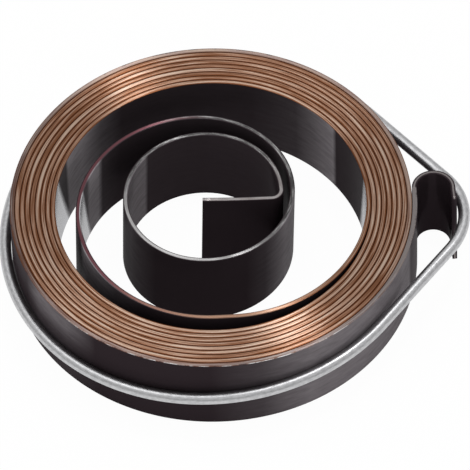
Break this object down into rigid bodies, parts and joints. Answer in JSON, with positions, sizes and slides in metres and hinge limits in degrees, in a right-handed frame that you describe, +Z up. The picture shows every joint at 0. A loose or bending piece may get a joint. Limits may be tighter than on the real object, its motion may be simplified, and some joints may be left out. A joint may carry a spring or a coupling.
{
  "type": "drill press return spring",
  "caption": "Flat spiral return spring for a drill press quill: steel strip wound in a tight coil, with an inner tang, an outer hook and a wire ring that keeps it wound.",
  "frame": {"origin": "on the axis of the wound turns, in the plane that the strip's lower edges lie on", "axes": "+Z up the coil's axis, +X towards the hook"},
  "size_m": [0.0581, 0.0532, 0.0112],
  "materials": {
    "spring_steel": "blued spring steel, near black on its faces, with bronze to silver-grey edges",
    "galvanised_wire": "galvanised steel wire, satin grey"
  },
  "bodies": {
    "root": {"spring_strip": "spring_steel", "retaining_ring": "galvanised_wire"}
  },
  "joints": []
}
